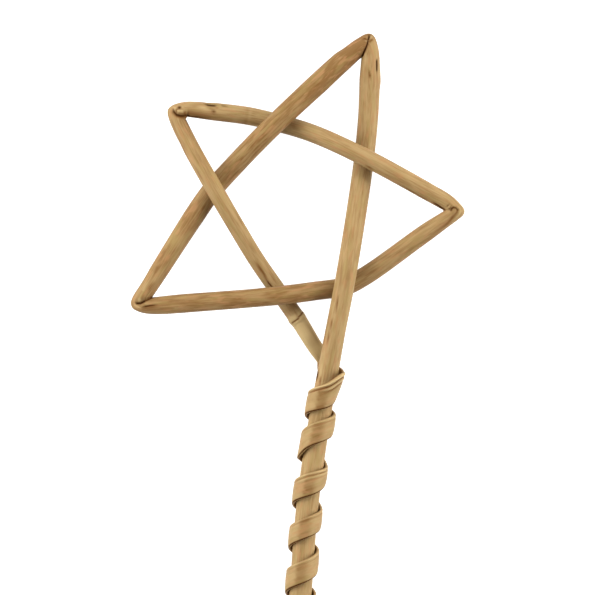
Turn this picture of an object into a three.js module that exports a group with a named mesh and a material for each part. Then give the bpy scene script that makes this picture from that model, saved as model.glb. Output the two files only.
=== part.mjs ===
import * as THREE from 'three';

// A woven five-pointed star on its own stem, bent from one long peeled bamboo cane. Millimetres, +Z up.
// It lies on its back: the star's face is up, its upright point towards +Y and the stem towards -Y.
// While it is shaped, places are measured from the middle of the star.

// Thickness of the round cane, from its thick foot to its thin end
const FOOT_THICK = 10.4;
const STEM_THICK = 9.9;
const UPRIGHT_THICK = 9;
const LEFT_UPPER_THICK = 9.1;
const BOTTOM_THICK = 8.4;
const RIGHT_UPPER_THICK = 7.8;
const LAST_THICK = 7.3;

// Whole length of the star and stem, and how far the upright point reaches above the star's middle
const LENGTH = 500;
const TOP_REACH = 76.4;

// The split end of the cane, pressed to a strip and wound down the stem
const STRIP_WIDE = 9.8;
const STRIP_START_WIDE = 11.6;
const STRIP_THICK = 1.5;
// The strip's edges bend in towards the stem
const STRIP_HUG = 0.45;
const WRAP_START = -76.6;
const WRAP_OUTER_RADIUS = 7.4;
const WRAP_PITCH = 19.8;
const WRAP_TURNS = 9.5;
const WRAP_TAPER_TURNS = 0.8;
const STRIP_END_WIDE = 3;
// The second turn was wound a little high
const HIGH_TURN = 1.45;
const HIGH_TURN_SPREAD = 0.4;
const HIGH_TURN_RISE = 3.4;

// Clearance where one side passes over another
const CROSSING_GAP = 0.5;
// Height of the cane's middle at a folded point, halfway between the upper and the lower crossings
const POINT_HEIGHT = 8.8;
// Height of the stem's middle, which the wound strip holds off the ground
const STEM_HEIGHT = WRAP_OUTER_RADIUS;
// The growth ring on the last side stands out by this much
const NODE_SWELL = 0.5;

// A folded point: the depth of its crease, and the share of the turn over which its reach spreads
const CREASE_DEPTH = 0.3;
const POINT_SPREAD = 0.19;
const FOLD_STEPS = 8;

// Fineness of the solid, and the short steps that find directions and places on a curve
const SECTION_SIDES = 12;
const RING_SPACING = 8;
const RINGS_PER_TURN = 16;
const SHORT_STEP = 0.01;
const CLOSE_ENOUGH = 1e-4;
const ROUND = 2;
const STRIP_SQUARE = 5;

// Places along a side. A free place takes its height from its neighbours.
const place = (x, y, thick, z = null) => ({ x, y, z, wide: thick, high: thick, square: ROUND, hug: 0 });
const point = (x, y, thick) => place(x, y, thick, POINT_HEIGHT);
const under = (x, y, thick) => place(x, y, thick, thick / 2);
const over = (x, y, thick, below) => place(x, y, thick, below + CROSSING_GAP + thick / 2);
const pressed = (x, y, wide, high, square) => ({ x, y, z: high / 2, wide, high, square, hug: 0 });

// The stem and the upright side, then the other four sides in the order in which the cane runs
const stemAndUpright = [
  place(-9.5, TOP_REACH - LENGTH, FOOT_THICK, STEM_HEIGHT),
  place(-4, -290, FOOT_THICK, STEM_HEIGHT),
  place(3.8, -174.2, STEM_THICK, STEM_HEIGHT),
  place(6.8, -136, STEM_THICK, STEM_HEIGHT),
  place(12.2, -97.7, STEM_THICK - 0.2, STEM_HEIGHT),
  place(16.2, -75, 9.3),
  place(19.4, -57.4, UPRIGHT_THICK),
  over(23.4, -36.6, UPRIGHT_THICK, BOTTOM_THICK),
  place(28.7, -5, UPRIGHT_THICK),
  under(32.4, 20.6, UPRIGHT_THICK),
  place(34.1, 40, UPRIGHT_THICK),
  place(34.9, 56.1, UPRIGHT_THICK + 0.2),
  point(35.2, 65.2, 8.2),
];
const leftUpper = [
  point(27.9, 68.4, 8.3),
  place(23.2, 64.6, 9.2),
  place(11.3, 53.6, LEFT_UPPER_THICK + 0.5),
  over(-7.2, 36.1, LEFT_UPPER_THICK, RIGHT_UPPER_THICK),
  place(-25.2, 18.1, LEFT_UPPER_THICK),
  under(-35.6, 6.8, LEFT_UPPER_THICK),
  place(-44, -5.3, LEFT_UPPER_THICK),
  place(-61.4, -32.6, 8.1),
  point(-65.9, -39.9, 7.75),
];
const bottom = [
  point(-62.3, -46.3, 7.7),
  place(-49.4, -45.2, BOTTOM_THICK),
  place(-17.1, -42.5, BOTTOM_THICK - 0.2),
  over(-5.1, -41.3, BOTTOM_THICK, LAST_THICK),
  place(9.9, -39.4, BOTTOM_THICK),
  under(24, -37.2, BOTTOM_THICK),
  place(33.6, -31.9, BOTTOM_THICK),
  place(60, -13, 8),
  point(69.9, -6.5, 7.45),
];
const rightUpper = [
  point(69.6, 0.3, 7.4),
  place(59.6, 6, RIGHT_UPPER_THICK),
  over(32.4, 20.6, RIGHT_UPPER_THICK, UPRIGHT_THICK),
  place(8.4, 31.8, RIGHT_UPPER_THICK),
  under(-7.4, 36.7, RIGHT_UPPER_THICK),
  place(-19.7, 39.5, RIGHT_UPPER_THICK + 0.1),
  place(-35.8, 41.4, RIGHT_UPPER_THICK),
  point(-46.9, 42.5, 7.1),
];
const lastSide = [
  point(-51.1, 36.4, 7.05),
  place(-45.7, 24.8, LAST_THICK),
  over(-35.1, 6.5, LAST_THICK + 0.1, LEFT_UPPER_THICK),
  place(-24.6, -11.4, LAST_THICK),
  place(-16.2, -25.3, LAST_THICK - 0.1),
  under(-5.1, -41.3, LAST_THICK - 0.1),
  under(1.3, -50.4, LAST_THICK - 0.1),
  under(2.6, -52.2, LAST_THICK + NODE_SWELL),
  under(3.9, -54.2, LAST_THICK - 0.2),
  under(6.8, -58.8, LAST_THICK - 0.4),
  pressed(10.3, -64.2, 7.2, 5, 2.4),
  pressed(13.4, -70, 9.6, 2.6, 3.5),
];
const SIDES = [stemAndUpright, leftUpper, bottom, rightUpper, lastSide];

// The folded points between the sides: reach past the cane's thickness, and where round the turn it peaks
const FOLDS = [
  { reach: 0.48, peak: 0.54 },
  { reach: 0.44, peak: 0.43 },
  { reach: 0.33, peak: 0.46 },
  { reach: 0.3, peak: 0.58 },
];

const UP = new THREE.Vector3(0, 0, 1);
const smooth = (t) => t * t * (3 - 2 * t);

const inPlan = (p) => new THREE.Vector3(p.x, p.y, 0);
const planCurve = (places) => new THREE.CatmullRomCurve3(places.map(inPlan));

// The height of the cane's middle along a side, as a function of the place's number and the share of the way to the
// next: it rises and sinks smoothly between the crossings and points, which have heights of their own
function heightsAlong(places) {
  const along = [0];
  for (let i = 1; i < places.length; i += 1) {
    along.push(along[i - 1] + inPlan(places[i]).distanceTo(inPlan(places[i - 1])));
  }
  const fixed = places.map((p, i) => i).filter((i) => places[i].z !== null);
  return (at) => {
    const whole = Math.min(Math.floor(at), places.length - 2);
    const here = THREE.MathUtils.lerp(along[whole], along[whole + 1], at - whole);
    const before = fixed.filter((i) => i <= whole).pop();
    const after = fixed.find((i) => i > whole);
    const share = (here - along[before]) / (along[after] - along[before]);
    return THREE.MathUtils.lerp(places[before].z, places[after].z, smooth(share));
  };
}

// A side as a curve in space: its middle and direction at a place's number and share
function sideCurve(places) {
  const plan = planCurve(places);
  const height = heightsAlong(places);
  const last = places.length - 1;
  const middleAt = (at) => plan.getPoint(at / last).setZ(height(at));
  const forwardAt = (at) => {
    const ahead = middleAt(Math.min(at + SHORT_STEP, last));
    return ahead.sub(middleAt(Math.max(at - SHORT_STEP, 0))).normalize();
  };
  return { last, middleAt, forwardAt };
}

// A ring of the cane: its middle, the direction across it to the left of travel, and the one through its thickness
function sideRing(curve, at, shape) {
  const forward = curve.forwardAt(at);
  const across = new THREE.Vector3().crossVectors(UP, forward).normalize();
  const through = new THREE.Vector3().crossVectors(forward, across);
  return { middle: curve.middleAt(at), across, through, ...shape };
}

function between(a, b, share) {
  const mix = (key) => THREE.MathUtils.lerp(a[key], b[key], share);
  return { wide: mix('wide'), high: mix('high'), square: mix('square'), hug: mix('hug') };
}

// Rings along one side, from its first place to its last; places past the last only steer the curve
function sideRings(places, steering = []) {
  const curve = sideCurve([...places, ...steering]);
  const rings = [];
  for (let i = 0; i < places.length - 1; i += 1) {
    const steps = Math.ceil(inPlan(places[i]).distanceTo(inPlan(places[i + 1])) / RING_SPACING);
    for (let step = 0; step < steps; step += 1) {
      const share = step / steps;
      rings.push(sideRing(curve, i + share, between(places[i], places[i + 1], share)));
    }
  }
  const last = places.length - 1;
  rings.push(sideRing(curve, last, between(places[last], places[last], 0)));
  return rings;
}

// The cane turns sharply left: its rings fan round the inner corner and the outside reaches out to a blunt point
function foldRings(from, to, fold) {
  const inner = (ring) => ring.middle.clone().addScaledVector(ring.across, ring.wide / 2);
  const turn = Math.acos(from.across.dot(to.across));
  const rings = [];
  for (let step = 1; step < FOLD_STEPS; step += 1) {
    const share = step / FOLD_STEPS;
    const corner = inner(from).lerp(inner(to), share);
    const across = from.across.clone().applyAxisAngle(UP, turn * share);
    const bell = Math.exp(-(((share - fold.peak) / POINT_SPREAD) ** 2));
    const shape = between(from, to, share);
    const wide = shape.wide * (1 + fold.reach * bell);
    const crease = step === FOLD_STEPS / 2 ? 1 - CREASE_DEPTH : 1;
    rings.push({
      ...shape,
      middle: corner.addScaledVector(across, -wide / 2),
      across,
      through: UP.clone(),
      wide,
      high: shape.high * crease,
    });
  }
  return rings;
}

// Where the stem's middle is, and its direction down the stem, at a distance along it from the star's middle
function stemFrame(stem, y) {
  let low = 0;
  let high = stem.last;
  while (high - low > CLOSE_ENOUGH) {
    const at = (low + high) / 2;
    if (stem.middleAt(at).y < y) low = at;
    else high = at;
  }
  return { middle: stem.middleAt(low), down: stem.forwardAt(low).negate() };
}

// The strip at a number of turns round the stem, counted from its pass beneath the stem
function wrapRing(stem, turns) {
  const settled = smooth(THREE.MathUtils.clamp(turns / WRAP_TAPER_TURNS, 0, 1));
  const ending = smooth(THREE.MathUtils.clamp((WRAP_TURNS - turns) / WRAP_TAPER_TURNS, 0, 1));
  const full = THREE.MathUtils.lerp(STRIP_START_WIDE, STRIP_WIDE, settled);
  const radius = WRAP_OUTER_RADIUS - STRIP_THICK / 2;
  const placeAt = (at) => {
    const rise = HIGH_TURN_RISE * Math.exp(-(((at - HIGH_TURN) / HIGH_TURN_SPREAD) ** 2));
    const { middle, down } = stemFrame(stem, WRAP_START - WRAP_PITCH * at + rise);
    const right = new THREE.Vector3().crossVectors(UP, down).normalize();
    const face = new THREE.Vector3().crossVectors(down, right);
    const angle = 2 * Math.PI * (at - 0.25);
    const outward = right.multiplyScalar(Math.cos(angle)).addScaledVector(face, Math.sin(angle));
    return { middle: middle.addScaledVector(outward, radius), outward };
  };
  const here = placeAt(turns);
  const ahead = placeAt(turns + SHORT_STEP).middle;
  const forward = ahead.sub(placeAt(turns - SHORT_STEP).middle).normalize();
  const inward = here.outward.negate();
  const across = new THREE.Vector3().crossVectors(inward, forward).normalize();
  return {
    middle: here.middle,
    across,
    through: new THREE.Vector3().crossVectors(forward, across),
    wide: THREE.MathUtils.lerp(STRIP_END_WIDE, full, ending),
    high: STRIP_THICK,
    square: STRIP_SQUARE,
    hug: STRIP_HUG,
  };
}

function wrapRings(stem) {
  const count = Math.round(WRAP_TURNS * RINGS_PER_TURN);
  return Array.from({ length: count + 1 }, (_, i) => wrapRing(stem, i / RINGS_PER_TURN));
}

// The corners of a ring: a circle, or a rounded rectangle where the cane is pressed flat. Its flats face up and down.
function ringCorners(ring) {
  const corners = [];
  const outer = 1 / Math.cos(Math.PI / SECTION_SIDES);
  const round = (value) => Math.sign(value) * Math.abs(value * outer) ** (ROUND / ring.square);
  for (let side = 0; side < SECTION_SIDES; side += 1) {
    const angle = (2 * Math.PI * (side + 0.5)) / SECTION_SIDES;
    const sideways = round(Math.cos(angle));
    const depth = (ring.high / 2) * round(Math.sin(angle)) + ring.hug * sideways ** 2;
    corners.push(
      ring.middle
        .clone()
        .addScaledVector(ring.across, (ring.wide / 2) * sideways)
        .addScaledVector(ring.through, depth),
    );
  }
  return corners;
}

// One closed skin over all the rings, with a flat cut at the foot and at the strip's end
function skinOver(rings) {
  const points = [rings[0].middle, rings[rings.length - 1].middle, ...rings.flatMap(ringCorners)];
  const corner = (ring, side) => 2 + ring * SECTION_SIDES + (side % SECTION_SIDES);
  const faces = [];
  for (let side = 0; side < SECTION_SIDES; side += 1) {
    faces.push(0, corner(0, side + 1), corner(0, side));
    faces.push(1, corner(rings.length - 1, side), corner(rings.length - 1, side + 1));
    for (let ring = 0; ring < rings.length - 1; ring += 1) {
      faces.push(corner(ring, side), corner(ring + 1, side + 1), corner(ring + 1, side));
      faces.push(corner(ring, side), corner(ring, side + 1), corner(ring + 1, side + 1));
    }
  }
  const geometry = new THREE.BufferGeometry().setFromPoints(points);
  geometry.setIndex(faces);
  geometry.computeVertexNormals();
  return geometry;
}

function caneRings() {
  const stem = sideCurve(stemAndUpright);
  const wrap = wrapRings(stem);
  const wrapStart = wrap.slice(0, 2).map((ring) => ({ ...ring, ...ring.middle }));
  const sides = SIDES.map((places) => {
    if (places !== lastSide) return sideRings(places);
    return sideRings([...places, wrapStart[0]], [wrapStart[1]]).slice(0, -1);
  });
  const rings = [];
  sides.forEach((side, i) => {
    rings.push(...side);
    if (i < FOLDS.length) rings.push(...foldRings(side[side.length - 1], sides[i + 1][0], FOLDS[i]));
  });
  return [...rings, ...wrap];
}

// The origin is below the middle of the whole, on the ground that it lies on
function lieOnGround(geometry) {
  geometry.computeBoundingBox();
  const { min, max } = geometry.boundingBox;
  geometry.translate(-(min.x + max.x) / 2, -(min.y + max.y) / 2, -min.z);
  return geometry;
}

const bamboo = new THREE.MeshStandardMaterial({ color: 0xbf9a66, roughness: 0.55, metalness: 0 });
const starCane = new THREE.Mesh(lieOnGround(skinOver(caneRings())), bamboo);
starCane.name = 'star_cane';

const starDecoration = new THREE.Group();
starDecoration.add(starCane);

export default starDecoration;
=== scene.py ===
import math

import bmesh
import bpy
import numpy as np
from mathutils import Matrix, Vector


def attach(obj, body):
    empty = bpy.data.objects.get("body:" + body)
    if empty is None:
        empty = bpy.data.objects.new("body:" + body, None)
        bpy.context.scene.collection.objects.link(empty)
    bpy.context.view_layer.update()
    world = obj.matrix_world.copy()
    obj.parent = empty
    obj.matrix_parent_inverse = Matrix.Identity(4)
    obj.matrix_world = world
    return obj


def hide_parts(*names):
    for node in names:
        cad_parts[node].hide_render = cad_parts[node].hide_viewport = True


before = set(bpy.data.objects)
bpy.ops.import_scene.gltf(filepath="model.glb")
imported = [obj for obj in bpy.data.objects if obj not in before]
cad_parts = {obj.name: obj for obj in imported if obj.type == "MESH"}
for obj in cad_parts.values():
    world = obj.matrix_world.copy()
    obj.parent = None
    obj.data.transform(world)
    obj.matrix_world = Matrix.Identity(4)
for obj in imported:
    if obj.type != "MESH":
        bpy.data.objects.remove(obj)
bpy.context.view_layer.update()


# The table, the light and the camera
# The star lies on its back on a white table. Broad soft lights stand low round it, the strongest at its left
# and upper right, so the flanks of each cane are brighter than its middle. The camera looks straight down.
VIEW_MIDDLE = Vector((0.00008, 0.13124, 0.009))
VIEW_WIDTH = 0.26775
LENS = 200.0
SENSOR = 36.0
FARTHEST_SEEN = 20

camera = bpy.data.objects.new("camera", bpy.data.cameras.new("camera"))
bpy.context.scene.collection.objects.link(camera)
camera.data.lens = LENS
camera.data.sensor_width = SENSOR
camera.data.clip_end = FARTHEST_SEEN
camera.location = VIEW_MIDDLE + Vector((0, 0, VIEW_WIDTH * LENS / SENSOR))
bpy.context.scene.camera = camera
bpy.context.scene.view_settings.view_transform = "Standard"

LIGHT_COLOUR = (0.98, 0.99, 0.96)


def soft_light(name, side, rise, reach, size, power):
    """A broad soft light at a compass side and a rise above the table, in degrees, that faces the star."""
    light = bpy.data.objects.new(name, bpy.data.lights.new(name, "AREA"))
    bpy.context.scene.collection.objects.link(light)
    light.data.shape = "RECTANGLE"
    light.data.size, light.data.size_y = size
    light.data.energy = power
    light.data.color = LIGHT_COLOUR
    light.visible_camera = False
    turn, lift = math.radians(side), math.radians(rise)
    way = Vector((math.sin(turn) * math.cos(lift), math.cos(turn) * math.cos(lift), math.sin(lift)))
    light.location = VIEW_MIDDLE + way * reach
    light.rotation_euler = way.to_track_quat("Z", "Y").to_euler()


soft_light("light_left", -94, 22, 1.0, (1.4, 0.76), 15)
soft_light("light_upper_left", -30, 32, 1.1, (0.8, 0.6), 6)
soft_light("light_upper_right", 34, 34, 1.1, (1.3, 0.7), 10.5)
soft_light("light_right", 98, 18, 1.0, (1.0, 0.6), 9.5)
soft_light("light_lower_right", 150, 36, 1.0, (0.7, 0.5), 1.5)


def seen_or_lit(tree, seen_value, mirrored_value, lit_value):
    """One value for the camera, one for the star's gloss, and one for the light that falls on the star."""
    path = tree.nodes.new("ShaderNodeLightPath")
    value = None
    for ray, ray_value in (("Is Glossy Ray", mirrored_value), ("Is Camera Ray", seen_value)):
        node = tree.nodes.new("ShaderNodeMapRange")
        node.inputs["To Min"].default_value = lit_value
        node.inputs["To Max"].default_value = ray_value
        tree.links.new(path.outputs[ray], node.inputs["Value"])
        if value is not None:
            tree.links.new(value, node.inputs["To Min"])
        value = node.outputs["Result"]
    return value


SKY_STRENGTH = {"seen_value": 1.0, "mirrored_value": 0.25, "lit_value": 0.07}
world = bpy.data.worlds.new("studio")
bpy.context.scene.world = world
world.use_nodes = True
sky = world.node_tree.nodes["Background"]
sky.inputs["Color"].default_value = (1, 1, 1, 1)
world.node_tree.links.new(seen_or_lit(world.node_tree, **SKY_STRENGTH), sky.inputs["Strength"])

TABLE_SIZE = 6
TABLE_DROP = 0.0002
TABLE_STRENGTH = {"seen_value": 0.94, "mirrored_value": 0.6, "lit_value": 0.0}
bpy.ops.object.select_all(action="DESELECT")
bpy.ops.mesh.primitive_plane_add(size=TABLE_SIZE, location=(0, 0, -TABLE_DROP))
table = bpy.context.object
table.name = "table"
bpy.ops.object.transform_apply(location=True, rotation=True, scale=True)
pale = bpy.data.materials.new("white table")
pale.use_nodes = True
top = pale.node_tree.nodes["Principled BSDF"]
top.inputs["Base Color"].default_value = (0.5, 0.5, 0.5, 1)
top.inputs["Roughness"].default_value = 0.9
top.inputs["Emission Color"].default_value = (1, 1, 1, 1)
pale.node_tree.links.new(seen_or_lit(pale.node_tree, **TABLE_STRENGTH), top.inputs["Emission Strength"])
table.data.materials.append(pale)


# The cane's run
# One long peeled bamboo cane, thick at the foot and thin at the far end. It comes up as the stem, is kinked
# into five sides that are woven over and under each other, and its thin end goes behind the stem. All is in
# millimetres from the middle of the star, and follows the solid's run with small corrections.
FOOT_THICK = 10.4
STEM_THICK = 9.9
UPRIGHT_THICK = 9
LEFT_UPPER_THICK = 9.1
BOTTOM_THICK = 8.4
RIGHT_UPPER_THICK = 7.95
LAST_THICK = 7.5
# A hair shorter than the solid, so that the skin's foot stays inside it
LENGTH = 499.99
TOP_REACH = 76.4
CROSSING_GAP = 0.5
POINT_HEIGHT = 8.8
STEM_HEIGHT = 7.4
NODE_SWELL = 0.5
# The cane is this much wider than it is thick. Its outline is an oval at the power of two, and squarer above
OVAL = 1.015
ROUND = 2


def place(x, y, thick, z=None):
    return {"x": x, "y": y, "z": z, "wide": thick * OVAL, "high": thick, "square": ROUND, "hug": 0}


def point(x, y, thick):
    return place(x, y, thick, POINT_HEIGHT)


def under(x, y, thick):
    return place(x, y, thick, thick / 2)


def over(x, y, thick, below):
    return place(x, y, thick, below + CROSSING_GAP + thick / 2)


def pressed(x, y, wide, high, square):
    return {"x": x, "y": y, "z": high / 2, "wide": wide, "high": high, "square": square, "hug": 0}


stem_and_upright = [
    place(-9.5, TOP_REACH - LENGTH, FOOT_THICK, STEM_HEIGHT),
    place(-4, -290, FOOT_THICK, STEM_HEIGHT),
    place(3.8, -174.2, STEM_THICK, STEM_HEIGHT),
    place(6.8, -136, STEM_THICK, STEM_HEIGHT),
    place(12.2, -97.7, STEM_THICK - 0.2, STEM_HEIGHT),
    place(16.2, -75, 9.3),
    place(19.4, -57.4, UPRIGHT_THICK),
    over(23.4, -36.6, UPRIGHT_THICK, BOTTOM_THICK),
    place(28.7, -5, UPRIGHT_THICK),
    under(32.4, 20.6, UPRIGHT_THICK),
    place(34.25, 40, UPRIGHT_THICK),
    place(34.9, 56.1, UPRIGHT_THICK + 0.2),
    point(35.2, 65.2, 8.2),
]
left_upper = [
    point(27.9, 68.4, 8.3),
    place(23.2, 64.6, 9.2),
    place(11.3, 53.6, LEFT_UPPER_THICK + 0.5),
    over(-7.2, 36.1, LEFT_UPPER_THICK, RIGHT_UPPER_THICK),
    place(-25.2, 18.1, LEFT_UPPER_THICK),
    under(-35.6, 6.8, LEFT_UPPER_THICK),
    place(-44.1, -5.3, LEFT_UPPER_THICK + 0.15),
    place(-61.4, -32.6, 8.1),
    point(-66.1, -39.9, 7.75),
]
bottom = [
    point(-62.5, -46.2, 7.8),
    place(-49.4, -45.1, BOTTOM_THICK),
    place(-17.1, -42.6, BOTTOM_THICK - 0.2),
    over(-5.1, -41.4, BOTTOM_THICK, LAST_THICK),
    place(9.9, -39.5, BOTTOM_THICK),
    under(24, -37.2, BOTTOM_THICK),
    place(33.7, -32.1, BOTTOM_THICK),
    place(60.1, -13.2, 8.05),
    point(70, -6.7, 7.45),
]
right_upper = [
    point(69.6, 0.3, 7.4),
    place(59.6, 6, RIGHT_UPPER_THICK),
    over(32.4, 20.6, RIGHT_UPPER_THICK, UPRIGHT_THICK),
    place(8.4, 31.8, RIGHT_UPPER_THICK),
    under(-7.4, 36.7, RIGHT_UPPER_THICK),
    place(-19.7, 39.5, RIGHT_UPPER_THICK + 0.1),
    place(-35.8, 41.4, RIGHT_UPPER_THICK),
    point(-46.9, 42.5, 7.1),
]
last_side = [
    point(-51.1, 36.4, 7.05),
    place(-45.45, 24.9, LAST_THICK),
    over(-35.05, 6.5, LAST_THICK + 0.1, LEFT_UPPER_THICK),
    place(-24.6, -11.4, LAST_THICK),
    place(-16.2, -25.3, LAST_THICK - 0.1),
    under(-5.1, -41.3, LAST_THICK - 0.1),
    under(0.8, -49.8, LAST_THICK - 0.1),
    under(2.0, -51.6, LAST_THICK + NODE_SWELL),
    under(3.4, -53.5, LAST_THICK - 0.2),
    under(6.7, -58.9, LAST_THICK - 0.4),
    pressed(10.45, -64.9, 6.9, 5, 2.4),
    pressed(14.55, -70.3, 7.3, 2.6, 3.5),
]
UP = np.array([0.0, 0.0, 1.0])
# The count of turns on a ring that isn't the strip's
NOT_WOUND = -1.0


def mix(a, b, share):
    return a + (b - a) * share


def smooth(t):
    return t * t * (3 - 2 * t)


def unit(v):
    return v / np.linalg.norm(v)


def plan(p):
    return np.array([p["x"], p["y"], 0.0])


class SideCurve:
    """A side as a curve in space, smooth in plan, that rises and sinks between its crossings."""

    SHORT_STEP = 0.01

    def __init__(self, places):
        self.places = places
        flat = [plan(p) for p in places]
        self.flat = [2 * flat[0] - flat[1], *flat, 2 * flat[-1] - flat[-2]]
        self.last = len(places) - 1
        steps = [np.linalg.norm(b - a) for a, b in zip(flat, flat[1:])]
        self.along = np.concatenate([[0], np.cumsum(steps)])
        self.fixed = [i for i, p in enumerate(places) if p["z"] is not None]

    def middle(self, at):
        whole = min(int(at), self.last - 1)
        share = at - whole
        a, b, c, d = self.flat[whole : whole + 4]
        ab, bc, cd = (math.sqrt(np.linalg.norm(q - p)) for p, q in ((a, b), (b, c), (c, d)))
        leave = ((b - a) / ab - (c - a) / (ab + bc) + (c - b) / bc) * bc
        arrive = ((c - b) / bc - (d - b) / (bc + cd) + (d - c) / cd) * bc
        bend = -3 * b + 3 * c - 2 * leave - arrive
        twist = 2 * b - 2 * c + leave + arrive
        spot = b + share * (leave + share * (bend + share * twist))
        here = mix(self.along[whole], self.along[whole + 1], share)
        before = max(i for i in self.fixed if i <= whole)
        after = min(i for i in self.fixed if i > whole)
        way = (here - self.along[before]) / (self.along[after] - self.along[before])
        spot[2] = mix(self.places[before]["z"], self.places[after]["z"], smooth(way))
        return spot

    def forward(self, at):
        ahead = self.middle(min(at + self.SHORT_STEP, self.last))
        return unit(ahead - self.middle(max(at - self.SHORT_STEP, 0)))


def shape_between(a, b, share):
    return {key: mix(a[key], b[key], share) for key in ("wide", "high", "square", "hug")}


def side_rings(places, stretch, spacing, steering=()):
    """Rings along one side, from its first place to its last; places past the last only steer the curve."""
    curve = SideCurve([*places, *steering])
    rings = []
    for i, (a, b) in enumerate(zip(places, places[1:])):
        steps = math.ceil(np.linalg.norm(plan(b) - plan(a)) / spacing(a))
        for step in range(steps + (i == len(places) - 2)):
            share = step / steps
            forward = curve.forward(i + share)
            across = unit(np.cross(UP, forward))
            through = np.cross(forward, across)
            ring = {"middle": curve.middle(i + share), "across": across, "through": through}
            rings.append({**ring, "stretch": stretch, **shape_between(a, b, share), "turns": NOT_WOUND})
    return rings


# The folded points
# At each point of the star the cane is kinked sharply to the left. The wall inside the bend collapses and
# creases, and the outside stretches round to a blunt point. Outlines are read off the photograph.
PIXEL = 0.45
STAR_MIDDLE_SEEN = (291.8, 202.8)
FOLD_STEPS = 54
FOLD_SAMPLES = 401
CREASE_SPREAD = 0.1
CREASE_FINENESS = 3.5
# An outline is walked in this many steps a place, and is met at most this many widths of the cane away
OUTLINE_STEPS = 10
OUTLINE_REACH = 2.5
FOLDS = [
    {
        "crease": 0.47,
        "pinch": 0.13,
        "outline": [
            (380.4, 86), (380.3, 79.7), (379.8, 68), (379.2, 57.5), (378.4, 49.9), (376.9, 43), (374.9, 37.4),
            (372.2, 34), (368.9, 32.8), (364.4, 33.5), (358.9, 36.6), (352.4, 40.7), (345, 46.1),
            (338.6, 50.9),
        ],
    },
    {
        "crease": 0.43,
        "pinch": 0.22,
        "outline": [
            (148.3, 269.6), (143.9, 277.4), (139.0, 285.2), (134.2, 292.6), (131.1, 298.4), (130.2, 303.0),
            (131.9, 307.6), (136.4, 310.6), (143.2, 312.7), (150.6, 313.6), (160, 313.8), (171, 313.4),
        ],
    },
    {
        "crease": 0.5,
        "pinch": 0.1,
        "outline": [
            (431.9, 238.6), (439.9, 232.5), (448.2, 226.2), (456.8, 219.8), (462.4, 215.2), (464.1, 211.4),
            (463.3, 207.8), (459.8, 203.4), (454.6, 198.0), (447.9, 192.8), (440.2, 188.2), (431.8, 183.9),
        ],
    },
    {
        "crease": 0.64,
        "pinch": 0.14,
        "outline": [
            (213, 102.8), (206, 101.9), (199.2, 101.2), (191.6, 100.9), (184.0, 101.2), (177.2, 102.6),
            (171.4, 104.9), (167.6, 108.4), (166.9, 112.6), (168.1, 118.2), (170.9, 125.4), (175.9, 136.4),
            (182.0, 147.6),
        ],
    },
]


def seen(px, py):
    """A place as read off the photograph, in millimetres from the star's middle."""
    return np.array([(px - STAR_MIDDLE_SEEN[0]) * PIXEL, (STAR_MIDDLE_SEEN[1] - py) * PIXEL])


def bell(value, at, spread):
    """One at a place, and fading to nothing on both sides of it."""
    return np.exp(-(((value - at) / spread) ** 2))


def running_mean(values, reach):
    """Each value's mean with as many neighbours on both sides."""
    count = 2 * reach + 1
    return np.convolve(np.pad(values, reach, mode="edge"), np.ones(count) / count, mode="valid")


def fold_rings(a, b, fold, stretch):
    """Rings that fan round the inner corner of a kink, from one side's last ring to the next side's first."""
    turn = math.acos(np.dot(a["across"], b["across"]))
    samples = np.linspace(0, 1, FOLD_SAMPLES)
    density = 1 + CREASE_FINENESS * bell(samples, fold["crease"], CREASE_SPREAD)
    done = np.concatenate([[0], np.cumsum((density[1:] + density[:-1]) / 2)])
    shares = np.interp(np.arange(1, FOLD_STEPS) / FOLD_STEPS, done / done[-1], samples)
    inner_a, inner_b = (end["middle"] + end["across"] * end["wide"] / 2 for end in (a, b))
    rings = []
    for share in shares:
        corner = mix(inner_a, inner_b, share)
        c, s = math.cos(turn * share), math.sin(turn * share)
        x, y, z = a["across"]
        across = np.array([x * c - y * s, x * s + y * c, z])
        shape = shape_between(a, b, share)
        shape["high"] *= 1 - fold["pinch"] * bell(share, fold["crease"], CREASE_SPREAD)
        ring = {"middle": corner - across * shape["wide"] / 2, "across": across, "through": UP}
        rings.append({**ring, "stretch": stretch, **shape, "turns": NOT_WOUND})
    return rings


def reach_to(line, start, way):
    """How far it is from a place to a line, in one direction, or None where the line isn't met."""
    off, step = line[:-1] - start, np.diff(line, axis=0)
    facing = way[0] * step[:, 1] - way[1] * step[:, 0]
    far = (off[:, 0] * step[:, 1] - off[:, 1] * step[:, 0]) / facing
    share = (off[:, 0] * way[1] - off[:, 1] * way[0]) / facing
    met = far[(share >= 0) & (share <= 1) & (far > 0)]
    return met.min() if len(met) else None


def follow_outline(rings, fold, number):
    """Widens or narrows the rings at a point, on the outside of the bend, until they reach its outline."""
    curve = SideCurve([place(*seen(*spot), 0, 0.0) for spot in fold["outline"]])
    walked = np.linspace(0, curve.last, curve.last * OUTLINE_STEPS + 1)
    line = np.array([curve.middle(at)[:2] for at in walked])
    growth = np.ones(len(rings))
    for i, ring in enumerate(rings):
        if abs(ring["stretch"] - number) <= 0.5:
            inner = ring["middle"] + ring["across"] * ring["wide"] / 2
            far = reach_to(line, inner[:2], -ring["across"][:2])
            if far is not None and far < OUTLINE_REACH * ring["wide"]:
                growth[i] = far / ring["wide"]
    for ring, grown in zip(rings, running_mean(growth, 1)):
        wide = ring["wide"] * grown
        ring["middle"] = ring["middle"] + ring["across"] * (ring["wide"] - wide) / 2
        ring["wide"] = wide


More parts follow.
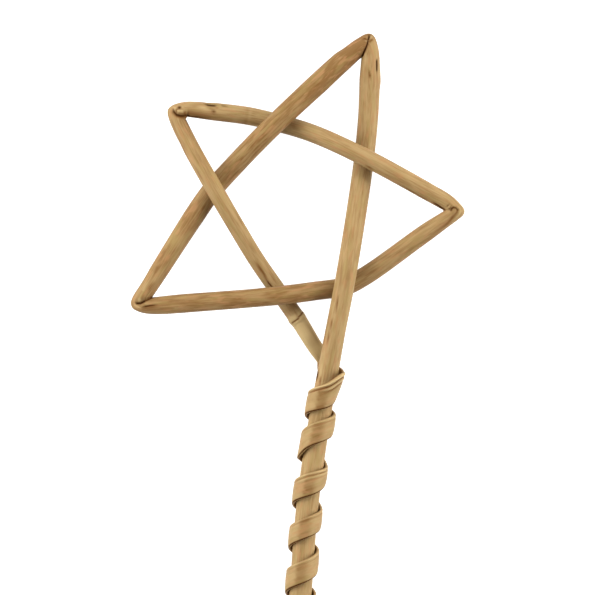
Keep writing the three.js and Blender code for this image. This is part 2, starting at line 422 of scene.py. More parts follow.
# The wound strip
# Behind the stem the thin end of the cane is split and pressed to a flat strip. It is wound down the stem in
# an open spiral, a little unevenly, stands off the stem at its edges, and tapers to its end.
STRIP_THICK = 1.5
STRIP_HUG = 0.45
STRIP_SQUARE = 5
STRIP_END_WIDE = 3
WRAP_START = -76.6
WRAP_OUTER_RADIUS = 7.3
WRAP_PITCH = 19.8
WRAP_TURNS = 9.5
WRAP_TAPER_TURNS = 0.8
WRAP_RINGS_PER_TURN = 38
SHORT_TURN = 0.01
CLOSE_ENOUGH = 1e-4
HIGH_TURN = 1.45
HIGH_TURN_SPREAD = 0.4
HIGH_TURN_RISE = 3.4
STRIP_STRETCH = 5.0
# Width of the strip along its turns, in millimetres
STRIP_WIDE_AT = [0, 0.12, 0.45, 0.8, 1.5, 2.2, 2.5, 3.5, 4.5, 5.5, 7, 9.5]
STRIP_WIDE = [9.2, 11.2, 10.6, 9.8, 9.2, 7.9, 9.9, 8.6, 9.4, 9.8, 9.3, 9.6]
# Where the first turn comes round the stem's right side, its lower edge is pulled in, and its upper edge is
# raised. The upper edges of the third and fourth turns are a little low there. On the left the second turn's
# lower edge hangs down. Each is a turn, a spread and a distance.
PULLED_TURN = 0.34
PULLED_SPREAD = 0.15
PULLED_IN = 0.45
PULLED_LEAN = math.radians(11)
RAISED_EDGES = [(0.29, 0.1, 3), (2.2, 0.12, -0.9), (3.2, 0.12, -0.9)]
HANGING_EDGES = [(1.78, 0.09, 1.8)]


def stem_frame(stem, y):
    """Where the stem's middle is, and the direction down the stem, at a height of the star's own."""
    low, high = 0.0, float(stem.last)
    while high - low > CLOSE_ENOUGH:
        at = (low + high) / 2
        low, high = (at, high) if stem.middle(at)[1] < y else (low, at)
    return stem.middle(low), -stem.forward(low)


def fade(past, soft):
    """Nothing up to an edge, and one from a soft width past it on."""
    return smooth(np.clip(past / soft, 0, 1))


def wrap_ring(stem, turns):
    """A ring of the strip, so many turns down the stem from where it comes out behind it."""
    ending = fade(WRAP_TURNS - turns, WRAP_TAPER_TURNS)
    pulled = bell(turns, PULLED_TURN, PULLED_SPREAD)
    radius = WRAP_OUTER_RADIUS - STRIP_THICK / 2 - PULLED_IN * pulled

    def spot(at):
        rise = HIGH_TURN_RISE * bell(at, HIGH_TURN, HIGH_TURN_SPREAD)
        middle, down = stem_frame(stem, WRAP_START - WRAP_PITCH * at + rise)
        right = unit(np.cross(UP, down))
        face = np.cross(down, right)
        angle = 2 * math.pi * (at - 0.25)
        outward = right * math.cos(angle) + face * math.sin(angle)
        return middle + outward * radius, outward

    middle, outward = spot(turns)
    forward = unit(spot(turns + SHORT_TURN)[0] - spot(turns - SHORT_TURN)[0])
    across = unit(np.cross(-outward, forward))
    inward = np.cross(forward, across)
    lean = PULLED_LEAN * pulled
    across, inward = (
        across * math.cos(lean) - inward * math.sin(lean),
        inward * math.cos(lean) + across * math.sin(lean),
    )
    raised, hanging = (
        sum(far * bell(turns, turn, spread) for turn, spread, far in edges)
        for edges in (RAISED_EDGES, HANGING_EDGES)
    )
    wide = mix(STRIP_END_WIDE, np.interp(turns, STRIP_WIDE_AT, STRIP_WIDE), ending) + raised + hanging
    middle = middle + across * (raised - hanging) / 2
    shape = {"wide": wide, "high": STRIP_THICK, "square": STRIP_SQUARE, "hug": STRIP_HUG}
    ring = {"middle": middle, "across": across, "through": inward, "stretch": STRIP_STRETCH}
    return {**ring, **shape, "turns": turns}


# The skin of the cane
# All the rings are joined to one closed skin, from the square cut of the foot to the strip's thin end. The
# skin has more faces on the star's face, where the creases are, than on its back.
SKIN_SIDES = 80
FACE_LEAN = 0.35
SIDE_SPACING = 1.4
LOW_STEM_TOP = -100
LOW_STEM_SPACING = 3
GROWTH_RING_FOOT = -52
GROWTH_RING_TOP = -49
GROWTH_RING_SPACING = 0.3


def plain_spacing(a):
    """How far apart the rings stand after a place: close at the growth ring, and wide on the low stem."""
    if GROWTH_RING_FOOT < a["y"] < GROWTH_RING_TOP:
        return GROWTH_RING_SPACING
    return LOW_STEM_SPACING if a["y"] < LOW_STEM_TOP else SIDE_SPACING


stem_curve = SideCurve(stem_and_upright)
wrap_steps = range(round(WRAP_TURNS * WRAP_RINGS_PER_TURN) + 1)
wraps = [wrap_ring(stem_curve, step / WRAP_RINGS_PER_TURN) for step in wrap_steps]


def strip_place(ring):
    x, y, z = ring["middle"]
    return {"x": x, "y": y, "z": z, **shape_between(ring, ring, 0)}


steering = strip_place(wraps[2])
sides = [stem_and_upright, left_upper, bottom, right_upper, [*last_side, strip_place(wraps[0])]]
runs = [side_rings(places, i, plain_spacing) for i, places in enumerate(sides[:-1])]
runs.append(side_rings(sides[-1], 4, plain_spacing, [steering])[:-1])
rings = []
for i, run in enumerate(runs):
    rings += run
    if i < len(FOLDS):
        rings += fold_rings(run[-1], runs[i + 1][0], FOLDS[i], i + 0.5)
for i, fold in enumerate(FOLDS):
    follow_outline(rings, fold, i + 0.5)
rings += wraps


def column(key):
    return np.array([ring[key] for ring in rings])


middle, across, through = column("middle"), column("across"), column("through")
stretch, turns, wide, high = column("stretch"), column("turns"), column("wide"), column("high")
square, hug = column("square"), column("hug")
along = np.concatenate([[0], np.cumsum(np.linalg.norm(np.diff(middle, axis=0), axis=1))])

even = 2 * np.pi * np.arange(SKIN_SIDES) / SKIN_SIDES
flat_share = np.clip((square - ROUND) / (STRIP_SQUARE - ROUND), 0, 1)
lean = FACE_LEAN * (1 - flat_share)
angle = even[None, :] + lean[:, None] * np.cos(even)[None, :]
sideways = np.cos(angle)
power = square[:, None]
lift = np.sign(np.sin(angle)) * np.maximum(1 - np.abs(sideways) ** power, 0) ** (1 / power)
skin = (
    middle[:, None, :]
    + across[:, None, :] * (wide[:, None] / 2 * sideways)[..., None]
    + through[:, None, :] * (high[:, None] / 2 * lift + hug[:, None] * sideways**2)[..., None]
)


# Growth marks, creases, stains and painted shade
# The marks that the knife, the kinks and the growth left on the cane: pinched creases at the points, slits,
# a growth ring, small scars and rusty streaks. Each is cut into the skin, and painted, where it lies. Some of
# the marks, the strip's grooves, ridges, rims, inner face and front, and the low last side are painted shade,
# painted highlights and painted light.
TINY = 1e-9
FAR_AWAY = 1e9
normal = np.cross(np.gradient(skin, axis=0), np.roll(skin, -1, axis=1) - np.roll(skin, 1, axis=1))
normal /= np.maximum(np.linalg.norm(normal, axis=2, keepdims=True), TINY)
outward = skin - middle[:, None, :]
normal *= np.sign(np.sum(np.sum(normal * outward, axis=2)))
on_face = skin[..., 2] > middle[:, None, 2]

crack_and_shade = np.zeros(skin.shape[:2])
stain_and_shade = np.zeros(skin.shape[:2])
fair = np.zeros(skin.shape[:2])
push = np.zeros(skin.shape[:2])


def mark(first, last, line, wide, deep=0.0, crack_and_shade_by=0.0, stain_and_shade_by=0.0, fair_by=0.0):
    """A mark along a line of (x, y, strength) on the star's face, on the stretches from first to last."""
    spots = [(*seen(x, y), strength) for x, y, strength in line]
    inside = (stretch[:, None] >= first) & (stretch[:, None] <= last) & on_face
    x, y = skin[..., 0], skin[..., 1]
    best = np.full(x.shape, FAR_AWAY)
    strength = np.zeros(x.shape)
    for (ax, ay, a), (bx, by, b) in zip(spots, spots[1:] or spots):
        dx, dy = bx - ax, by - ay
        squared = max(dx * dx + dy * dy, TINY)
        share = np.clip(((x - ax) * dx + (y - ay) * dy) / squared, 0, 1)
        far = np.hypot(x - ax - dx * share, y - ay - dy * share)
        nearer = far < best
        best = np.where(nearer, far, best)
        strength = np.where(nearer, mix(a, b, share), strength)
    amount = np.where(inside, bell(best, 0, wide) * strength, 0)
    push[...] -= amount * deep
    crack_and_shade[...] = np.maximum(crack_and_shade, np.minimum(amount * crack_and_shade_by, 1))
    stain_and_shade[...] = np.maximum(stain_and_shade, np.minimum(amount * stain_and_shade_by, 1))
    fair[...] = np.maximum(fair, np.minimum(amount * fair_by, 1))


# Each mark has the first and the last stretch of cane that it lies on, its line, and its width. Then come its
# depth, and how much it is a dark crack, a rusty stain and fair, where it has them; some of these are painted
# shade and painted highlights, as said beside them.

# The upright point: the two legs are pressed together, with a dark crease up to the tip
UPRIGHT_POINT_MARKS = [
    (
        0, 1,
        [(361.6, 56.2, 0.9), (363, 53, 0.9), (364.7, 49.4, 1), (366.6, 44.5, 1), (367.3, 41.2, 1)],
        0.34, 0.3, 1.3,
    ),
    (0, 1, [(362, 55, 0.8), (366.6, 44.5, 0.8)], 0.6, 0.1, 0, 0.8),
    (0, 1, [(367.7, 39.4, 0.9), (368.5, 37, 1), (368.4, 35.2, 0.6)], 0.46, 0.4, 1.3),
    (0, 1, [(367.4, 40.6, 0.6), (364.2, 38.6, 0.9), (361.6, 39, 0.3)], 0.45, 0.25, 0.4, 1.2),
    (0, 1, [(369.2, 41.6, 0.8), (371.4, 39.6, 0.9), (371.8, 38.4, 0.2)], 0.6, 0.1, 0.1, 1),
    (0, 1, [(365.9, 40.5, 1)], 0.6, -0.25, 0, 0, 0.5),
    (0, 1, [(370.3, 37.6, 0.8), (371.2, 36.6, 0.6)], 0.5, -0.15, 0, 0, 0.5),
    (0, 0, [(376.2, 59.2, 0.4), (376.3, 62, 1), (376.3, 68.6, 1), (376.2, 72, 0.3)], 0.34, 0.4, 2.2),
    (0, 0, [(376.4, 71.6, 0.5), (376.6, 88, 0.3)], 0.4, 0.05, 0, 0.7),
    (0, 0, [(368, 70, 0.3), (369.1, 75, 1), (369.8, 78.5, 0.3)], 0.55, 0.1, 0.25, 1.1),
    (0, 0, [(370.8, 60.5, 0.2), (370.9, 66, 0.7), (370.2, 71, 0.2)], 0.5, 0.08, 0, 0.6),
    (0, 0, [(363, 62, 0.3), (364.6, 70, 0.6), (364, 78, 0.2)], 0.5, 0.05, 0, 0.5),
    (0, 0, [(378.5, 60, 0.5), (379, 72, 0.5)], 0.35, 0, 0, 0, 0.5),
]
# The left lower point
LEFT_LOWER_POINT_MARKS = [
    (1, 2, [(152.2, 296.8, 1), (147.5, 299.2, 0.9), (144, 300.7, 1)], 0.36, 0.35, 0.7, 1),
    (1, 2, [(144, 300.7, 0.8), (140.4, 302.7, 1), (136.6, 303, 1), (135.6, 302.2, 0.3)], 0.44, 0.5, 1.4),
    (1, 2, [(151, 298, 0.6), (144, 301.2, 0.8), (140, 303.4, 0.5)], 0.7, 0, 0, 0.7),
    (
        1.5, 2,
        [(142, 306.8, 0.2), (145.5, 306.2, 0.9), (149.5, 305.3, 1), (153.5, 304.8, 0.8), (157, 304.2, 0.2)],
        0.42, 0.4, 0.85, 1.2,
    ),
    (1.5, 2, [(143, 308, 0.6), (151, 306.5, 0.9), (165, 303.6, 0.5), (176, 302.6, 0.2)], 0.9, 0, 0, 0.8),
    (
        1.5, 2,
        [(134.8, 303.6, 0.4), (136.2, 305.6, 0.9), (140, 307.4, 0.8), (143.4, 307.4, 0.3)],
        0.4, -0.2, 0, 0, 0.4,
    ),
    (1.5, 2, [(140.5, 310, 0.3), (148, 309.6, 0.8), (172, 308, 0.5)], 0.5, 0.06, 0, 0.7),
    (1, 1.5, [(139.5, 299.4, 1)], 0.8, -0.15, 0, 0, 0.55),
    (1, 1, [(156.6, 267.5, 0.8), (155, 271, 0.6)], 0.8, 0.05, 0, 0.7),
    (1, 1, [(151.8, 281, 0.2), (149.4, 287, 0.8), (149.6, 292, 0.2)], 0.7, 0.05, 0, 0.6),
    (1, 1, [(146, 283, 0.3), (142.6, 290, 0.7), (141, 295, 0.2)], 0.6, 0, 0, 0, 0.4),
]
# The right point: the skin of the upper leg curls round the tip and over the lower leg
RIGHT_POINT_MARKS = [
    (
        2, 3,
        [(450.2, 210, 0.8), (450.9, 208.4, 1), (452.6, 207.2, 1), (455, 207.6, 0.8), (456.7, 209.6, 0.7)],
        0.5, 0.3, 0.7, 1,
    ),
    (2, 3, [(456.7, 209.6, 0.9), (456.2, 212, 0.8), (454, 215, 0.7), (451, 218, 0.6)], 0.65, 0.2, 0.3, 1),
    # This mark and the next paint the shadow that the curled skin casts along the lower leg: painted shadow.
    (
        2, 3,
        [(455, 213, 0.6), (451.3, 217.6, 1), (447.5, 222.6, 0.9), (441, 227.8, 0.5), (430, 234.6, 0.3)],
        0.8, 0.2, 0, 0.85,
    ),
    (2, 2, [(447, 224.5, 0.4), (436, 233, 0.5), (420, 243.5, 0.4), (400, 254, 0.2)], 0.7, 0, 0, 0.7),
    (2, 3, [(452.4, 211.6, 0.8), (451.6, 214.6, 0.7)], 0.7, 0, 0, 0.5),
    (2, 3, [(452.6, 211.4, 1), (447, 215, 0.8), (438, 221, 0.4)], 1.5, 0, 0, 0.32),
    (
        2, 3,
        [(458.5, 207, 0.4), (460, 210.5, 0.6), (456.6, 216.2, 0.6), (450, 222.5, 0.4)],
        0.7, -0.15, 0, 0, 0.35,
    ),
    (2.5, 3, [(446.6, 205.9, 0.9), (448.8, 203.6, 0.2)], 0.4, 0.3, 0.5, 0.6),
    (2.5, 3, [(448.6, 208.8, 0.9), (450.8, 204.8, 0.3)], 0.4, 0.3, 0.2, 0.8),
    (2.5, 3, [(447.9, 206.6, 0.9)], 0.5, -0.25, 0, 0, 0.4),
    (
        2.5, 3,
        [(432.4, 202.3, 0.4), (435.4, 204, 0.9), (439.6, 206.8, 1), (443.8, 209.4, 0.7)],
        0.42, 0.3, 1.05, 0.8,
    ),
    (3, 3, [(395, 182.6, 0.2), (409, 190, 0.8), (426, 199.4, 0.5)], 0.4, 0.12, 0.2, 0.8),
]
# The left upper point: a small pinched knot beside the crease
LEFT_UPPER_POINT_MARKS = [
    (3, 4, [(178.8, 110.9, 0.9), (182, 111.4, 0.9)], 1.25, -0.8),
    # The knot's top is painted fair, a painted highlight, and its lower half painted rusty, a painted shade.
    (3, 4, [(178.2, 110.6, 1), (182.2, 110.9, 0.9)], 0.7, 0, 0, 0, 0.5),
    (3, 4, [(178, 113.4, 0.7), (182.6, 113.4, 0.8)], 0.7, 0, 0, 0.7),
    (3, 4, [(179.3, 107.6, 1)], 0.62, 0.5, 1),
    (3, 4, [(179.3, 107.6, 1)], 1.1, 0, 0, 0.7),
    (
        3, 4,
        [(176.4, 112.4, 0.8), (176.3, 110, 0.8), (177.2, 109.2, 0.8), (180, 109.1, 0.5), (183, 109.6, 0.3)],
        0.36, 0.3, 0.3, 0.9,
    ),
    (3, 4, [(177, 106.6, 0.6), (179.2, 105.2, 0.7), (182, 107, 0.6)], 0.45, -0.3, 0, 0, 0.6),
    (3, 4, [(174.4, 108.4, 1)], 0.8, -0.35, 0, 0, 0.5),
    (
        3, 4,
        [(173, 109, 0.6), (173.6, 111.8, 1), (176.2, 114.6, 1), (180.6, 115.8, 0.8), (185.6, 115.6, 0.8)],
        0.42, 0.4, 0.8, 0.6,
    ),
    (3, 4, [(173.6, 112.4, 0.8), (177, 115.6, 1), (181, 116.4, 1), (186, 116.2, 1)], 1.0, 0.2, 0, 0.95),
    (3, 4, [(184.4, 112.6, 0.9), (184.8, 115.4, 0.9)], 0.9, 0.1, 0, 0.9),
    (3, 3, [(184.6, 109.8, 0.4), (186, 112.6, 1), (186.2, 117.5, 1)], 0.55, 0.35, 0.7, 0.6),
    (3, 3, [(186, 116.6, 1), (197, 116.7, 0.9), (208, 118.2, 0.5)], 0.6, 0.1, 0.7, 0.8),
    (3, 3, [(188, 113, 0.9), (203, 114.6, 0.8), (228, 119.6, 0.4)], 1.6, 0, 0, 0.72),
    (3, 3, [(205, 103.4, 0.6), (208.2, 104.9, 1), (214, 105.2, 1), (216.4, 104.8, 0.2)], 0.5, 0.4, 1.15),
    (3, 3, [(221.4, 105.2, 0.8), (226, 106, 0.5)], 0.45, 0.2, 0.5, 0.6),
    (3, 3, [(213.6, 111.2, 1), (214.4, 113, 0.8)], 0.5, 0.2, 0.6, 0.7),
    (3, 3, [(208.6, 107.6, 0.9), (213, 109.6, 0.6), (217, 107.6, 0.6)], 0.5, 0.1, 0, 0.7),
    (3, 3, [(208.6, 117, 0.3), (211, 113.6, 0.8), (217.6, 115.8, 0.5)], 0.55, 0.1, 0, 0.7),
    (3, 3, [(199, 107, 0.6), (204, 108, 0.8), (206, 110, 0.4)], 0.9, 0, 0, 0, 0.4),
    (4, 4, [(185.8, 118.2, 1), (187.4, 122.5, 0.9), (190, 128, 0.2)], 0.5, 0.1, 0.7, 0.5),
]
# Along the sides: the growth ring of the last side, faint rings, scars, rusty streaks, and painted shade at
# the stem's left edge
SIDE_MARKS = [
    (4, 4, [(291.6, 322.8, 0.8), (297, 318.6, 1), (299.4, 315.4, 1), (303, 311, 0.8)], 0.34, 0.35, 0.4, 1.3),
    (4, 4, [(285, 312, 0.6), (291, 308.4, 0.9), (297, 304, 0.8)], 2.2, 0, 0, 0.5),
    (4, 4, [(292.4, 308, 0.5), (294.6, 311.4, 0.9), (297, 315, 0.5)], 0.6, 0, 0, 0.6),
    (4, 4, [(293, 325, 0.6), (298.4, 321.2, 0.9), (304.6, 313.8, 0.6)], 0.8, -0.1, 0, 0, 0.6),
    (4, 4, [(303, 318, 0.3), (311, 330, 0.7), (319, 343, 0.6)], 0.9, 0, 0, 0.6),
    (4, 4, [(265.8, 279.4, 0.3), (268.6, 283.4, 1), (272, 287, 0.8)], 0.36, 0.25, 0.75, 1.2),
    (4, 4, [(256, 262, 0.3), (259.6, 268, 1), (263.4, 273.4, 0.9), (266, 279, 0.5)], 0.6, 0.05, 0.1, 1),
    (4, 4, [(269, 272, 0.3), (273, 278.4, 0.8), (277, 284, 0.4)], 0.5, 0.05, 0, 0.7),
    (4, 4, [(236, 213, 0.2), (240, 221, 0.5), (246, 231, 0.2)], 0.5, 0.05, 0, 0.6),
    (3, 3, [(246.4, 108.6, 0.5), (245.4, 117, 0.5), (244.4, 122.6, 0.5)], 0.5, 0.12, 0, 0.6),
    (3, 3, [(250.4, 109.6, 0.4), (249.4, 118, 0.4), (248.4, 123.6, 0.4)], 0.5, -0.1, 0, 0, 0.4),
    (3, 3, [(364.6, 165.4, 0.3), (368.6, 167.6, 0.9), (372.6, 170, 0.2)], 0.5, 0.15, 0.2, 0.8),
    # A rusty patch on the right upper side, just beside where the left upper side lies over it.
    (3, 3, [(289.5, 124.6, 0.4), (293.5, 126.4, 0.8), (297.5, 128.6, 0.4)], 1.0, 0, 0, 0.7),
    (0, 0, [(337.6, 294, 0.3), (336.6, 302, 1), (335.4, 312, 0.3)], 0.36, 0.1, 0.1, 0.9),
    (0, 0, [(331.8, 317, 0.2), (330.8, 323, 1), (329.8, 328, 0.3)], 0.36, 0.1, 0, 0.9),
    (0, 0, [(328.6, 331, 0.2), (327.8, 337, 0.9), (326.4, 343, 0.3)], 0.4, 0.08, 0, 0.9),
    (0, 0, [(325.6, 322, 0.2), (323.4, 336, 0.8), (321.4, 350, 0.2)], 0.45, 0.08, 0, 0.8),
    (0, 0, [(319.9, 376, 0.3), (319.6, 380, 0.8), (319.2, 384, 0.3)], 0.45, 0.15, 0.3, 0.9),
    # The stem's left edge is painted dark where the pressed end lies in shadow behind it: painted shade.
    (0, 0, [(317.6, 370, 0.3), (316.9, 373.5, 1), (316, 377.5, 1), (315.4, 380, 0.2)], 0.5, 0, 0.8, 1),
    (0, 0, [(321.4, 365, 0.2), (319.4, 372, 0.5), (317.8, 382, 0.2)], 0.6, -0.1, 0, 0, 0.5),
    (2, 2, [(165, 303.4, 0.2), (180, 302, 0.7), (199, 300.6, 0.2)], 0.6, 0.05, 0, 0.6),
    (2, 2, [(196, 305.4, 0.2), (222, 303.6, 0.6), (246, 302, 0.2)], 0.5, 0.05, 0, 0.6),
]

for marks in (
    UPRIGHT_POINT_MARKS,
    LEFT_LOWER_POINT_MARKS,
    RIGHT_POINT_MARKS,
    LEFT_UPPER_POINT_MARKS,
    SIDE_MARKS,
):
    for one_mark in marks:
        mark(*one_mark)

# The strip: its upper edge is rolled to a lip, most of all on the first and third turns
LIP_AT = [
    0.1, 0.3, 0.6, 0.78, 1.1, 1.3, 1.55, 1.8, 2.15, 2.3, 2.6, 2.8, 3.2, 3.6, 3.8, 4.2, 4.6, 4.8, 5.2, 9.5,
]
LIP_BY = [
    0.3, 1.0, 0.9, 0.10, 0.2, 0.45, 0.35, 0.1, 0.20, 0.6, 0.5, 0.1, 0.35, 0.3, 0.1, 0.40, 0.3, 0.1, 0.35, 0.2,
]
FOLD_AT = [0.15, 0.28, 0.42, 0.52, 2.20, 2.32, 2.55, 2.65]
FOLD_BY = [0.00, 1.00, 0.90, 0.00, 0.00, 0.35, 0.30, 0.00]
# What the lip and the fold under it do: a place from -1 to 1 across the strip, a spread, and an amount
LIP_RELIEF = [(0.90, 0.08, 0.34), (0.72, 0.06, -0.42)]
FOLD_RELIEF = [(0.54, 0.09, 0.24), (0.36, 0.06, -0.46)]
# The grooves under the lip and the fold are painted rusty, a painted shade, and their ridges painted fair, a
# painted highlight.
LIP_GROOVE_SHADE = [(0.71, 0.06, 1.0)]
FOLD_GROOVE_SHADE = [(0.35, 0.06, 1.1)]
LIP_RIDGE_HIGHLIGHT = [(0.93, 0.06, 0.8)]
FOLD_RIDGE_HIGHLIGHT = [(0.55, 0.09, 0.8)]
# Its inner face, next to the stem, is painted brown all over: painted shade in the gap between strip and
# stem.
INNER_FACE = 0.05
INNER_SHADE = 0.4
# Its lower edge is painted dark where it touches the stem, most of all on the left: a painted contact shadow.
RIM_AT = [0.25, 0.45, 0.66, 0.78, 0.9]
RIM_BY = [0.35, 0.9, 1.2, 0.5, 0.2]
RIM_ACROSS = -0.96
RIM_SPREAD = 0.065
RIM_DARKEST = 0.75
# The strip is painted darker along the middle of its front, the side that faces straight up: painted shade.
BAND_LEFT, BAND_LEFT_SOFT = -0.46, 0.16
BAND_RIGHT, BAND_RIGHT_SOFT = 0.05, 0.42
BAND_SHADE = 0.62
on_strip = turns[:, None] >= 0
outer = on_strip & (np.sin(angle) < 0)
lip = np.where(outer, np.interp(turns, LIP_AT, LIP_BY)[:, None], 0)
tuck = np.where(outer, np.interp(turns, FOLD_AT, FOLD_BY)[:, None], 0)


def across_strip(lines):
    return sum(amount * bell(sideways, at, spread) for at, spread, amount in lines)


push += lip * across_strip(LIP_RELIEF) + tuck * across_strip(FOLD_RELIEF)
stain_and_shade = np.maximum(stain_and_shade, np.clip(lip * across_strip(LIP_GROOVE_SHADE) + tuck * across_strip(FOLD_GROOVE_SHADE), 0, 1))
fair = np.maximum(fair, np.clip(lip * across_strip(LIP_RIDGE_HIGHLIGHT) + tuck * across_strip(FOLD_RIDGE_HIGHLIGHT), 0, 1))
stain_and_shade = np.maximum(stain_and_shade, np.where(on_strip & (np.sin(angle) > INNER_FACE), INNER_SHADE, 0))
# The painted contact shadow goes into both the dark crack colour and the rusty stain colour.
rim_shadow = np.interp(turns % 1, RIM_AT, RIM_BY)[:, None] * bell(sideways, RIM_ACROSS, RIM_SPREAD)
crack_and_shade = np.maximum(crack_and_shade, np.where(outer, np.clip(rim_shadow, 0, RIM_DARKEST), 0))
stain_and_shade = np.maximum(stain_and_shade, np.where(outer, np.clip(rim_shadow, 0, 1), 0))

# How far a place lies to the right of the stem's middle, over the stretch of stem that the strip covers
WOUND_PLACES = 5
WOUND_SAMPLES = 101
stem_line = np.array([stem_curve.middle(at) for at in np.linspace(0, WOUND_PLACES, WOUND_SAMPLES)])
beside = (skin[..., 0] - np.interp(skin[..., 1], stem_line[:, 1], stem_line[:, 0])) / WRAP_OUTER_RADIUS
front_shade = fade(beside - BAND_LEFT, BAND_LEFT_SOFT) * (1 - fade(beside - BAND_RIGHT, BAND_RIGHT_SOFT))
front_shade = np.where(outer & on_face & (skin[..., 2] > STEM_HEIGHT), front_shade, 0)

# The last side is painted paler near its end, a painted pool of light where it lies low beside the stem,
# and painted dark where it is pressed flat behind the stem, a painted shade.
PALE_TOP, PALE_TOP_SOFT = -46, 8
PALE_FOOT, PALE_FOOT_SOFT = -72, 6
LOW_END_PAINTED_LIGHT = 0.6
PRESSED_TOP, PRESSED_SOFT = -69, 4
PRESSED_SHADE = 0.7
end = np.where(stretch == 4, middle[:, 1], 0)[:, None]
painted_light = fade(PALE_TOP - end, PALE_TOP_SOFT) * fade(end - PALE_FOOT, PALE_FOOT_SOFT)
fair = np.maximum(fair, LOW_END_PAINTED_LIGHT * painted_light)
stain_and_shade = np.maximum(stain_and_shade, PRESSED_SHADE * fade(PRESSED_TOP - end, PRESSED_SOFT))

skin = skin + normal * push[..., None]
skin[..., 2] = np.maximum(skin[..., 2], 0)


# The cane as one piece
# The whole decoration is one cane, so it is one mesh: a flat grid is laid along the rings, closed to a tube,
# and capped at both ends. The foot is cut square, and shows the cane's narrow hollow.
MM = 0.001
STAR_MIDDLE = (-2.258, 173.625, 0.0)
MERGE_REACH = 1e-7
FOOT_WALL = 0.0034
HOLLOW_TAPER = 0.0002
HOLLOW_DEPTH = 0.004
SHARP_EDGE = math.radians(50)

spans = len(rings) - 1
bpy.ops.object.select_all(action="DESELECT")
bpy.ops.mesh.primitive_grid_add(x_subdivisions=SKIN_SIDES, y_subdivisions=spans, size=1)
cane = bpy.context.object
cane.name = "star_cane_skin"
mesh = cane.data
grid = np.zeros(len(mesh.vertices) * 3)
mesh.vertices.foreach_get("co", grid)
grid = grid.reshape(-1, 3) + 0.5
side_of = np.round(grid[:, 0] * SKIN_SIDES).astype(int) % SKIN_SIDES
ring_of = np.round(grid[:, 1] * spans).astype(int)
in_metres = (skin + np.array(STAR_MIDDLE)) * MM
mesh.vertices.foreach_set("co", in_metres[ring_of, side_of].astype(np.float32).ravel())


def keep(name, values, kind="FLOAT"):
    """Keeps a value for each place on the skin, for the finish to read."""
    attribute = mesh.attributes.new(name, kind, "POINT")
    key = "value" if kind == "FLOAT" else "vector"
    attribute.data.foreach_set(key, values[ring_of, side_of].astype(np.float32).ravel())


# The grain runs along the cane, so it is laid out on a straight cane of this radius
GRAIN_RADIUS = 4.5
grain_along = np.broadcast_to(along[:, None], angle.shape)
grain_place = np.stack([GRAIN_RADIUS * sideways, GRAIN_RADIUS * np.sin(angle), grain_along], axis=2)
keep("grain_place", grain_place, "FLOAT_VECTOR")
keep("crack_and_shade", crack_and_shade)
keep("stain_and_shade", stain_and_shade)
keep("fair", fair)

# How golden brown each stretch is. Sides are numbered as the cane runs, a point is a half, the strip is five
BROWN = {0: 0.22, 1.5: 0.55, 2.5: 0.3, 3: 0.22, 3.5: 0.28, 5: 0.08}
# Some stretches change along their way: by x at the upright point and on the bottom, by y on two of the sides
BROWN_BY_X = {0.5: ([31, 34.5], [1.15, 0.3]), 2: ([-60, 4, 30, 60], [0.62, 0.82, 0.5, 0.35])}
BROWN_BY_Y = {1: ([-40, 20, 60], [0.58, 0.64, 1.1]), 4: ([-60, -40, 0, 36], [-0.05, 0.12, 0.3, 0.52])}
PALER_BELOW = -50
PALER_BY = 0.08
BROWN_REACH = 7
brown = np.array([BROWN.get(number, 0.0) for number in stretch])
for axis, browns in enumerate((BROWN_BY_X, BROWN_BY_Y)):
    for number, (places, amounts) in browns.items():
        brown = np.where(stretch == number, np.interp(middle[:, axis], places, amounts), brown)
brown -= np.where((stretch == 0) & (middle[:, 1] < PALER_BELOW), PALER_BY, 0)
# The kept brown also carries the painted shade along the middle of the strip's front.
keep("brown", running_mean(brown, BROWN_REACH)[:, None] + BAND_SHADE * front_shade)
keep("strip", np.broadcast_to(on_strip.astype(float), angle.shape))

bpy.ops.object.mode_set(mode="EDIT")
bpy.ops.mesh.select_all(action="SELECT")
bpy.ops.mesh.remove_doubles(threshold=MERGE_REACH)
bpy.ops.mesh.select_all(action="DESELECT")
bpy.ops.mesh.select_mode(type="EDGE")
bpy.ops.mesh.select_non_manifold(extend=False)
bpy.ops.mesh.fill_holes(sides=0)
bpy.ops.mesh.select_all(action="SELECT")
bpy.ops.mesh.normals_make_consistent(inside=False)
bpy.ops.mesh.select_all(action="DESELECT")
bpy.ops.mesh.select_mode(type="FACE")
shell = bmesh.from_edit_mesh(mesh)
caps = [face for face in shell.faces if len(face.verts) > 4]
foot = min(caps, key=lambda cap: cap.calc_center_median().y)
foot.select = True
bmesh.update_edit_mesh(mesh)
bpy.ops.mesh.inset(thickness=FOOT_WALL)
bpy.ops.mesh.inset(thickness=HOLLOW_TAPER, depth=-HOLLOW_DEPTH)
bpy.ops.object.mode_set(mode="OBJECT")
bpy.ops.object.shade_smooth_by_angle(angle=SHARP_EDGE)


# The finish of the cane
# Peeled and dried bamboo, bare of paint and varnish: straw to golden brown and satin. It has fine lengthwise
# grain, olive and rosy patches, rusty streaks, and dark cracks where it is kinked.
STRAW = (0.39, 0.256, 0.115, 1)
GOLDEN = (0.212, 0.106, 0.036, 1)
OLIVE = (0.31, 0.222, 0.076, 1)
ROSY = (0.39, 0.200, 0.088, 1)
RUST_AND_SHADE = (0.155, 0.056, 0.012, 1)
DARK = (0.042, 0.012, 0.001, 1)
FAIR = (0.60, 0.44, 0.22, 1)

finish = bpy.data.materials.new("peeled bamboo")
finish.use_nodes = True
nodes, links = finish.node_tree.nodes, finish.node_tree.links
shader = nodes["Principled BSDF"]
shader.inputs["Specular IOR Level"].default_value = 0.22
shader.inputs["Specular Tint"].default_value = (1.0, 0.82, 0.52, 1)


def kept(name, vector=False):
    node = nodes.new("ShaderNodeAttribute")
    node.attribute_name = name
    return node.outputs["Vector" if vector else "Fac"]


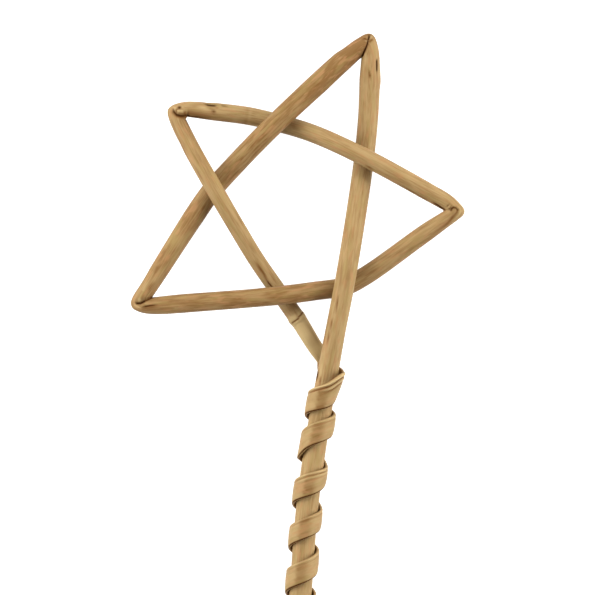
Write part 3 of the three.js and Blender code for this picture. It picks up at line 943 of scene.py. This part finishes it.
def streaks(stretch_by, fineness, detail, shift):
    """Noise that is drawn out along the cane."""
    mapping = nodes.new("ShaderNodeMapping")
    mapping.inputs["Scale"].default_value = (1, 1, 1 / stretch_by)
    mapping.inputs["Location"].default_value = (shift, shift, shift)
    links.new(kept("grain_place", True), mapping.inputs["Vector"])
    grain = nodes.new("ShaderNodeTexNoise")
    grain.inputs["Scale"].default_value = fineness
    grain.inputs["Detail"].default_value = detail
    links.new(mapping.outputs["Vector"], grain.inputs["Vector"])
    return grain.outputs["Fac"]


def ramp(value, low, high, to_low=0.0, to_high=1.0):
    node = nodes.new("ShaderNodeMapRange")
    node.interpolation_type = "SMOOTHSTEP"
    for key, number in (("From Min", low), ("From Max", high), ("To Min", to_low), ("To Max", to_high)):
        node.inputs[key].default_value = number
    links.new(value, node.inputs["Value"])
    return node.outputs["Result"]


def combined(a, b, operation="ADD"):
    node = nodes.new("ShaderNodeMath")
    node.operation = operation
    links.new(a, node.inputs[0])
    links.new(b, node.inputs[1])
    return node.outputs["Value"]


# A mix node has a set of sockets for each kind of value. These are the ones for colours
MIX_AMOUNT, MIX_BASE, MIX_OVER, MIX_RESULT = 0, 6, 7, 2


def blend_colour(base, over_colour, amount):
    node = nodes.new("ShaderNodeMix")
    node.data_type = "RGBA"
    for value, socket in ((base, node.inputs[MIX_BASE]), (over_colour, node.inputs[MIX_OVER])):
        if isinstance(value, tuple):
            socket.default_value = value
        else:
            links.new(value, socket)
    links.new(amount, node.inputs[MIX_AMOUNT])
    return node.outputs[MIX_RESULT]


calm = ramp(kept("strip"), 0, 1, 1, 0.3)
clouds = ramp(streaks(4, 0.38, 2, 3.1), 0.3, 0.7, -0.22, 0.22)
fine = combined(ramp(streaks(14, 1.5, 4, 7.7), 0.3, 0.7, -0.24, 0.24), calm, "MULTIPLY")
tone = combined(combined(kept("brown"), clouds), fine)
colour = blend_colour(STRAW, GOLDEN, tone)
colour = blend_colour(colour, OLIVE, ramp(streaks(5, 0.46, 2, 15.2), 0.48, 0.68, 0, 0.4))
colour = blend_colour(colour, ROSY, ramp(streaks(4, 0.62, 2, 21.4), 0.50, 0.70, 0, 0.65))
threads = combined(ramp(streaks(18, 2.2, 3, 1.3), 0.60, 0.74, 0, 0.4), calm, "MULTIPLY")
colour = blend_colour(colour, RUST_AND_SHADE, threads)
# Fair paints pale scars and also painted highlights and painted light; the rust and dark colours below paint
# stains and cracks and also painted shade.
colour = blend_colour(colour, FAIR, kept("fair"))
colour = blend_colour(colour, RUST_AND_SHADE, kept("stain_and_shade"))
colour = blend_colour(colour, DARK, kept("crack_and_shade"))
links.new(colour, shader.inputs["Base Color"])
rough = ramp(streaks(14, 1.2, 2, 5.5), 0.2, 0.8, 0.42, 0.56)
rough = combined(rough, ramp(kept("strip"), 0, 1, 0, 0.08), "SUBTRACT")
rough = combined(rough, ramp(kept("crack_and_shade"), 0, 1, 0, 0.4))
rough = combined(rough, ramp(kept("stain_and_shade"), 0, 1, 0, 0.3))
links.new(rough, shader.inputs["Roughness"])
bump = nodes.new("ShaderNodeBump")
bump.inputs["Strength"].default_value = 0.35
bump.inputs["Distance"].default_value = 0.00012
links.new(streaks(20, 1.8, 3, 9.2), bump.inputs["Height"])
links.new(bump.outputs["Normal"], shader.inputs["Normal"])
mesh.materials.clear()
mesh.materials.append(finish)

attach(cane, "root")
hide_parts("star_cane")
